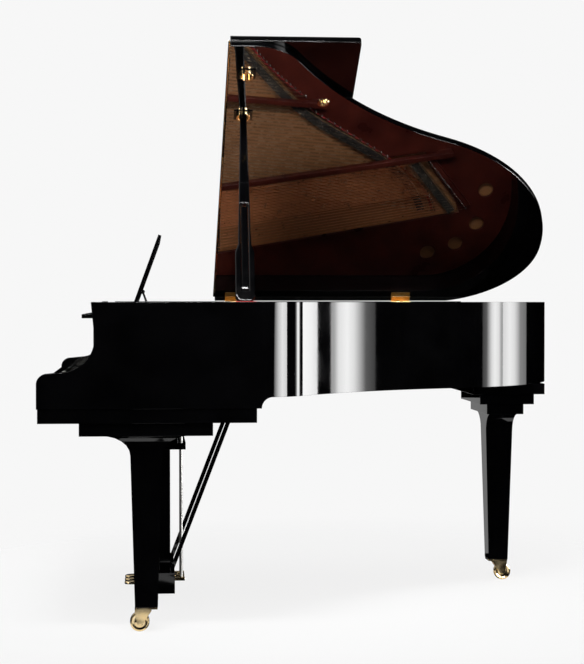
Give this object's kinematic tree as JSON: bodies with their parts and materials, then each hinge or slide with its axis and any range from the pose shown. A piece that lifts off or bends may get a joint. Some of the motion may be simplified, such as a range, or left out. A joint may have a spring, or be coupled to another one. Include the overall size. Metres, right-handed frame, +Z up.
{
  "type": "grand piano",
  "caption": "Black grand piano with propped lid, folding music desk, playable keyboard with hammers and dampers, pedal lyre and legs on casters.",
  "frame": {"origin": "on the floor under the middle of the case", "axes": "+X from the keyboard to the tail, +Y from the treble side to the straight bass side, +Z up"},
  "size_m": [1.755, 1.5124, 1.7954],
  "materials": {
    "black_lacquer": "high-gloss black polyester over wood",
    "beech": "satin clear coat",
    "spruce": "warm clear lacquer",
    "maple": "satin clear coat",
    "bronze_plate": "bronze lacquer",
    "nickel_steel": "nickel plated",
    "string_steel": "drawn wire",
    "copper_winding": "copper winding",
    "rail_aluminium": "satin",
    "damper_felt": "black lacquered heads on white felt",
    "hammer_felt": "felt on maple",
    "brass": "polished and lacquered",
    "key_white": "gloss white key top",
    "sharp_black": "satin black"
  },
  "bodies": {
    "case": {"rim": "black_lacquer", "keybed": "black_lacquer", "key_slip": "black_lacquer", "cheek_blocks": "black_lacquer", "case_frame": "beech", "soundboard": "spruce", "bridges": "maple", "iron_plate": "bronze_plate", "pin_block": "maple", "tuning_pins": "nickel_steel", "treble_strings": "string_steel", "bass_strings": "copper_winding", "desk_rails": "black_lacquer", "lid_hinge_rim_leaves": "brass", "prop_bracket": "brass", "front_leg_treble": "black_lacquer", "front_leg_bass": "black_lacquer", "tail_leg": "black_lacquer", "leg_blocks": "black_lacquer", "caster_plates": "brass", "lyre_box": "black_lacquer", "lyre_frame": "black_lacquer", "lyre_braces": "black_lacquer"},
    "action": {"key_frame": "beech", "hammer_rail": "rail_aluminium"},
    "keys_c_f": {"keys_c_f": "key_white"},
    "hammers_c_f": {"hammers_c_f": "hammer_felt"},
    "keys_d_g": {"keys_d_g": "key_white"},
    "hammers_d_g": {"hammers_d_g": "hammer_felt"},
    "keys_e_a": {"keys_e_a": "key_white"},
    "hammers_e_a": {"hammers_e_a": "hammer_felt"},
    "keys_b": {"keys_b": "key_white"},
    "hammers_b": {"hammers_b": "hammer_felt"},
    "keys_c_sharp_f_sharp_a_sharp": {"keys_c_sharp_f_sharp_a_sharp": "sharp_black"},
    "hammers_c_sharp_f_sharp_a_sharp": {"hammers_c_sharp_f_sharp_a_sharp": "hammer_felt"},
    "keys_d_sharp_g_sharp": {"keys_d_sharp_g_sharp": "sharp_black"},
    "hammers_d_sharp_g_sharp": {"hammers_d_sharp_g_sharp": "hammer_felt"},
    "dampers": {"dampers": "damper_felt"},
    "fallboard": {"fallboard": "black_lacquer"},
    "desk_tray": {"desk_tray": "black_lacquer"},
    "desk_panel": {"desk_panel": "black_lacquer"},
    "desk_struts": {"desk_struts": "black_lacquer"},
    "long_prop": {"long_prop": "black_lacquer"},
    "short_prop": {"short_prop": "black_lacquer"},
    "lid": {"lid_main": "black_lacquer", "lid_hardware": "brass"},
    "lid_flap": {"lid_flap": "black_lacquer", "flap_hinge_knuckles": "brass"},
    "pedal_soft": {"pedal_soft": "brass"},
    "pedal_rod_soft": {"pedal_rod_soft": "nickel_steel"},
    "pedal_middle": {"pedal_middle": "brass"},
    "pedal_rod_middle": {"pedal_rod_middle": "nickel_steel"},
    "pedal_damper": {"pedal_damper": "brass"},
    "pedal_rod_damper": {"pedal_rod_damper": "nickel_steel"},
    "caster_fork_treble": {"caster_fork_treble": "brass"},
    "caster_wheel_treble": {"caster_wheel_treble": "brass"},
    "caster_fork_bass": {"caster_fork_bass": "brass"},
    "caster_wheel_bass": {"caster_wheel_bass": "brass"},
    "caster_fork_tail": {"caster_fork_tail": "brass"},
    "caster_wheel_tail": {"caster_wheel_tail": "brass"}
  },
  "joints": [
    {"name": "action_shift", "type": "slide", "parent": "case", "child": "action", "axis": [0, -1, 0], "range_m": [0, 0.0025]},
    {"name": "key_dip_c_f", "type": "hinge", "parent": "action", "child": "keys_c_f", "pos_m": [-0.6235, 0, 0.704], "axis": [0, -1, 0], "range_deg": [0, 2.6], "stiffness_Nm_per_rad": 20, "springref_deg": -5.73},
    {"name": "hammer_c_f", "type": "hinge", "parent": "action", "child": "hammers_c_f", "pos_m": [-0.5475, 0, 0.8], "axis": [0, -1, 0], "range_deg": [0, 20]},
    {"name": "key_dip_d_g", "type": "hinge", "parent": "action", "child": "keys_d_g", "pos_m": [-0.6235, 0, 0.704], "axis": [0, -1, 0], "range_deg": [0, 2.6], "stiffness_Nm_per_rad": 20, "springref_deg": -5.73},
    {"name": "hammer_d_g", "type": "hinge", "parent": "action", "child": "hammers_d_g", "pos_m": [-0.5475, 0, 0.8], "axis": [0, -1, 0], "range_deg": [0, 20]},
    {"name": "key_dip_e_a", "type": "hinge", "parent": "action", "child": "keys_e_a", "pos_m": [-0.6235, 0, 0.704], "axis": [0, -1, 0], "range_deg": [0, 2.6], "stiffness_Nm_per_rad": 20, "springref_deg": -5.73},
    {"name": "hammer_e_a", "type": "hinge", "parent": "action", "child": "hammers_e_a", "pos_m": [-0.5475, 0, 0.8], "axis": [0, -1, 0], "range_deg": [0, 20]},
    {"name": "key_dip_b", "type": "hinge", "parent": "action", "child": "keys_b", "pos_m": [-0.6235, 0, 0.704], "axis": [0, -1, 0], "range_deg": [0, 2.6], "stiffness_Nm_per_rad": 20, "springref_deg": -5.73},
    {"name": "hammer_b", "type": "hinge", "parent": "action", "child": "hammers_b", "pos_m": [-0.5475, 0, 0.8], "axis": [0, -1, 0], "range_deg": [0, 20]},
    {"name": "key_dip_c_sharp_f_sharp_a_sharp", "type": "hinge", "parent": "action", "child": "keys_c_sharp_f_sharp_a_sharp", "pos_m": [-0.6235, 0, 0.704], "axis": [0, -1, 0], "range_deg": [0, 2.6], "stiffness_Nm_per_rad": 20, "springref_deg": -5.73},
    {"name": "hammer_c_sharp_f_sharp_a_sharp", "type": "hinge", "parent": "action", "child": "hammers_c_sharp_f_sharp_a_sharp", "pos_m": [-0.5475, 0, 0.8], "axis": [0, -1, 0], "range_deg": [0, 20]},
    {"name": "key_dip_d_sharp_g_sharp", "type": "hinge", "parent": "action", "child": "keys_d_sharp_g_sharp", "pos_m": [-0.6235, 0, 0.704], "axis": [0, -1, 0], "range_deg": [0, 2.6], "stiffness_Nm_per_rad": 20, "springref_deg": -5.73},
    {"name": "hammer_d_sharp_g_sharp", "type": "hinge", "parent": "action", "child": "hammers_d_sharp_g_sharp", "pos_m": [-0.5475, 0, 0.8], "axis": [0, -1, 0], "range_deg": [0, 20]},
    {"name": "pedal_soft_press", "type": "hinge", "parent": "case", "child": "pedal_soft", "pos_m": [-0.4935, 0.062, 0.062], "axis": [0, -1, 0], "range_deg": [0, 6], "stiffness_Nm_per_rad": 30, "springref_deg": -8.59},
    {"name": "pedal_rod_soft_lift", "type": "slide", "parent": "case", "child": "pedal_rod_soft", "axis": [0, 0, 1], "range_m": [0, 0.00648]},
    {"name": "pedal_middle_press", "type": "hinge", "parent": "case", "child": "pedal_middle", "pos_m": [-0.4935, 0, 0.062], "axis": [0, -1, 0], "range_deg": [0, 6], "stiffness_Nm_per_rad": 30, "springref_deg": -8.59},
    {"name": "pedal_rod_middle_lift", "type": "slide", "parent": "case", "child": "pedal_rod_middle", "axis": [0, 0, 1], "range_m": [0, 0.00648]},
    {"name": "pedal_damper_press", "type": "hinge", "parent": "case", "child": "pedal_damper", "pos_m": [-0.4935, -0.062, 0.062], "axis": [0, -1, 0], "range_deg": [0, 6], "stiffness_Nm_per_rad": 30, "springref_deg": -8.59},
    {"name": "pedal_rod_damper_lift", "type": "slide", "parent": "case", "child": "pedal_rod_damper", "axis": [0, 0, 1], "range_m": [0, 0.00648]},
    {"name": "damper_lift", "type": "slide", "parent": "case", "child": "dampers", "axis": [0, 0, 1], "range_m": [0, 0.006]},
    {"name": "fallboard_close", "type": "hinge", "parent": "case", "child": "fallboard", "pos_m": [-0.6995, 0, 0.785], "axis": [0, -1, 0], "range_deg": [0, 90]},
    {"name": "desk_tray_slide", "type": "slide", "parent": "case", "child": "desk_tray", "axis": [1, 0, 0], "range_m": [-0.04, 0.12]},
    {"name": "desk_tilt", "type": "hinge", "parent": "desk_tray", "child": "desk_panel", "pos_m": [-0.5865, 0, 0.957], "axis": [0, 1, 0], "range_deg": [0, 68.5]},
    {"name": "desk_strut_fold", "type": "hinge", "parent": "desk_panel", "child": "desk_struts", "pos_m": [-0.56495, 0, 1.0162], "axis": [0, 1, 0], "range_deg": [-137.5, 0]},
    {"name": "lid_open", "type": "hinge", "parent": "case", "child": "lid", "pos_m": [0, 0.749, 0.9845], "axis": [-1, 0, 0], "range_deg": [0, 45]},
    {"name": "flap_unfold", "type": "hinge", "parent": "lid", "child": "lid_flap", "pos_m": [-0.29957, 0.11826, 1.38904], "axis": [0, -0.8572, 0.515], "range_deg": [0, 180]},
    {"name": "prop_fold", "type": "hinge", "parent": "case", "child": "long_prop", "pos_m": [-0.25953, -0.681, 0.961], "axis": [-0.6396, 0.6396, -0.4263], "range_deg": [0, 62]},
    {"name": "short_prop_swing", "type": "hinge", "parent": "long_prop", "child": "short_prop", "pos_m": [-0.25789, -0.63962, 1.02063], "axis": [0.9997, -0.0128, -0.0185], "range_deg": [0, 50]},
    {"name": "caster_swivel_treble", "type": "hinge", "parent": "case", "child": "caster_fork_treble", "pos_m": [-0.5535, -0.635, 0.075], "axis": [0, 0, 1], "continuous": true},
    {"name": "caster_roll_treble", "type": "hinge", "parent": "caster_fork_treble", "child": "caster_wheel_treble", "pos_m": [-0.5735, -0.635, 0.029], "axis": [0, 1, 0], "continuous": true},
    {"name": "caster_swivel_bass", "type": "hinge", "parent": "case", "child": "caster_fork_bass", "pos_m": [-0.5535, 0.635, 0.075], "axis": [0, 0, 1], "continuous": true},
    {"name": "caster_roll_bass", "type": "hinge", "parent": "caster_fork_bass", "child": "caster_wheel_bass", "pos_m": [-0.5735, 0.635, 0.029], "axis": [0, 1, 0], "continuous": true},
    {"name": "caster_swivel_tail", "type": "hinge", "parent": "case", "child": "caster_fork_tail", "pos_m": [0.6815, 0.22, 0.075], "axis": [0, 0, 1], "continuous": true},
    {"name": "caster_roll_tail", "type": "hinge", "parent": "caster_fork_tail", "child": "caster_wheel_tail", "pos_m": [0.7015, 0.22, 0.029], "axis": [0, 1, 0], "continuous": true}
  ],
  "couplings": [
    {"joint": "hammer_c_f", "follows": "key_dip_c_f", "ratio": 7.6},
    {"joint": "hammer_d_g", "follows": "key_dip_d_g", "ratio": 7.6},
    {"joint": "hammer_e_a", "follows": "key_dip_e_a", "ratio": 7.6},
    {"joint": "hammer_b", "follows": "key_dip_b", "ratio": 7.6},
    {"joint": "hammer_c_sharp_f_sharp_a_sharp", "follows": "key_dip_c_sharp_f_sharp_a_sharp", "ratio": 7.6},
    {"joint": "hammer_d_sharp_g_sharp", "follows": "key_dip_d_sharp_g_sharp", "ratio": 7.6},
    {"joint": "pedal_rod_soft_lift", "follows": "pedal_soft_press", "m_per_rad": 0.06},
    {"joint": "pedal_rod_middle_lift", "follows": "pedal_middle_press", "m_per_rad": 0.06},
    {"joint": "pedal_rod_damper_lift", "follows": "pedal_damper_press", "m_per_rad": 0.06},
    {"joint": "action_shift", "follows": "pedal_soft_press", "m_per_rad": 0.023778},
    {"joint": "damper_lift", "follows": "pedal_damper_press", "m_per_rad": 0.057105},
    {"joint": "desk_strut_fold", "follows": "desk_tilt", "ratio": -2}
  ]
}
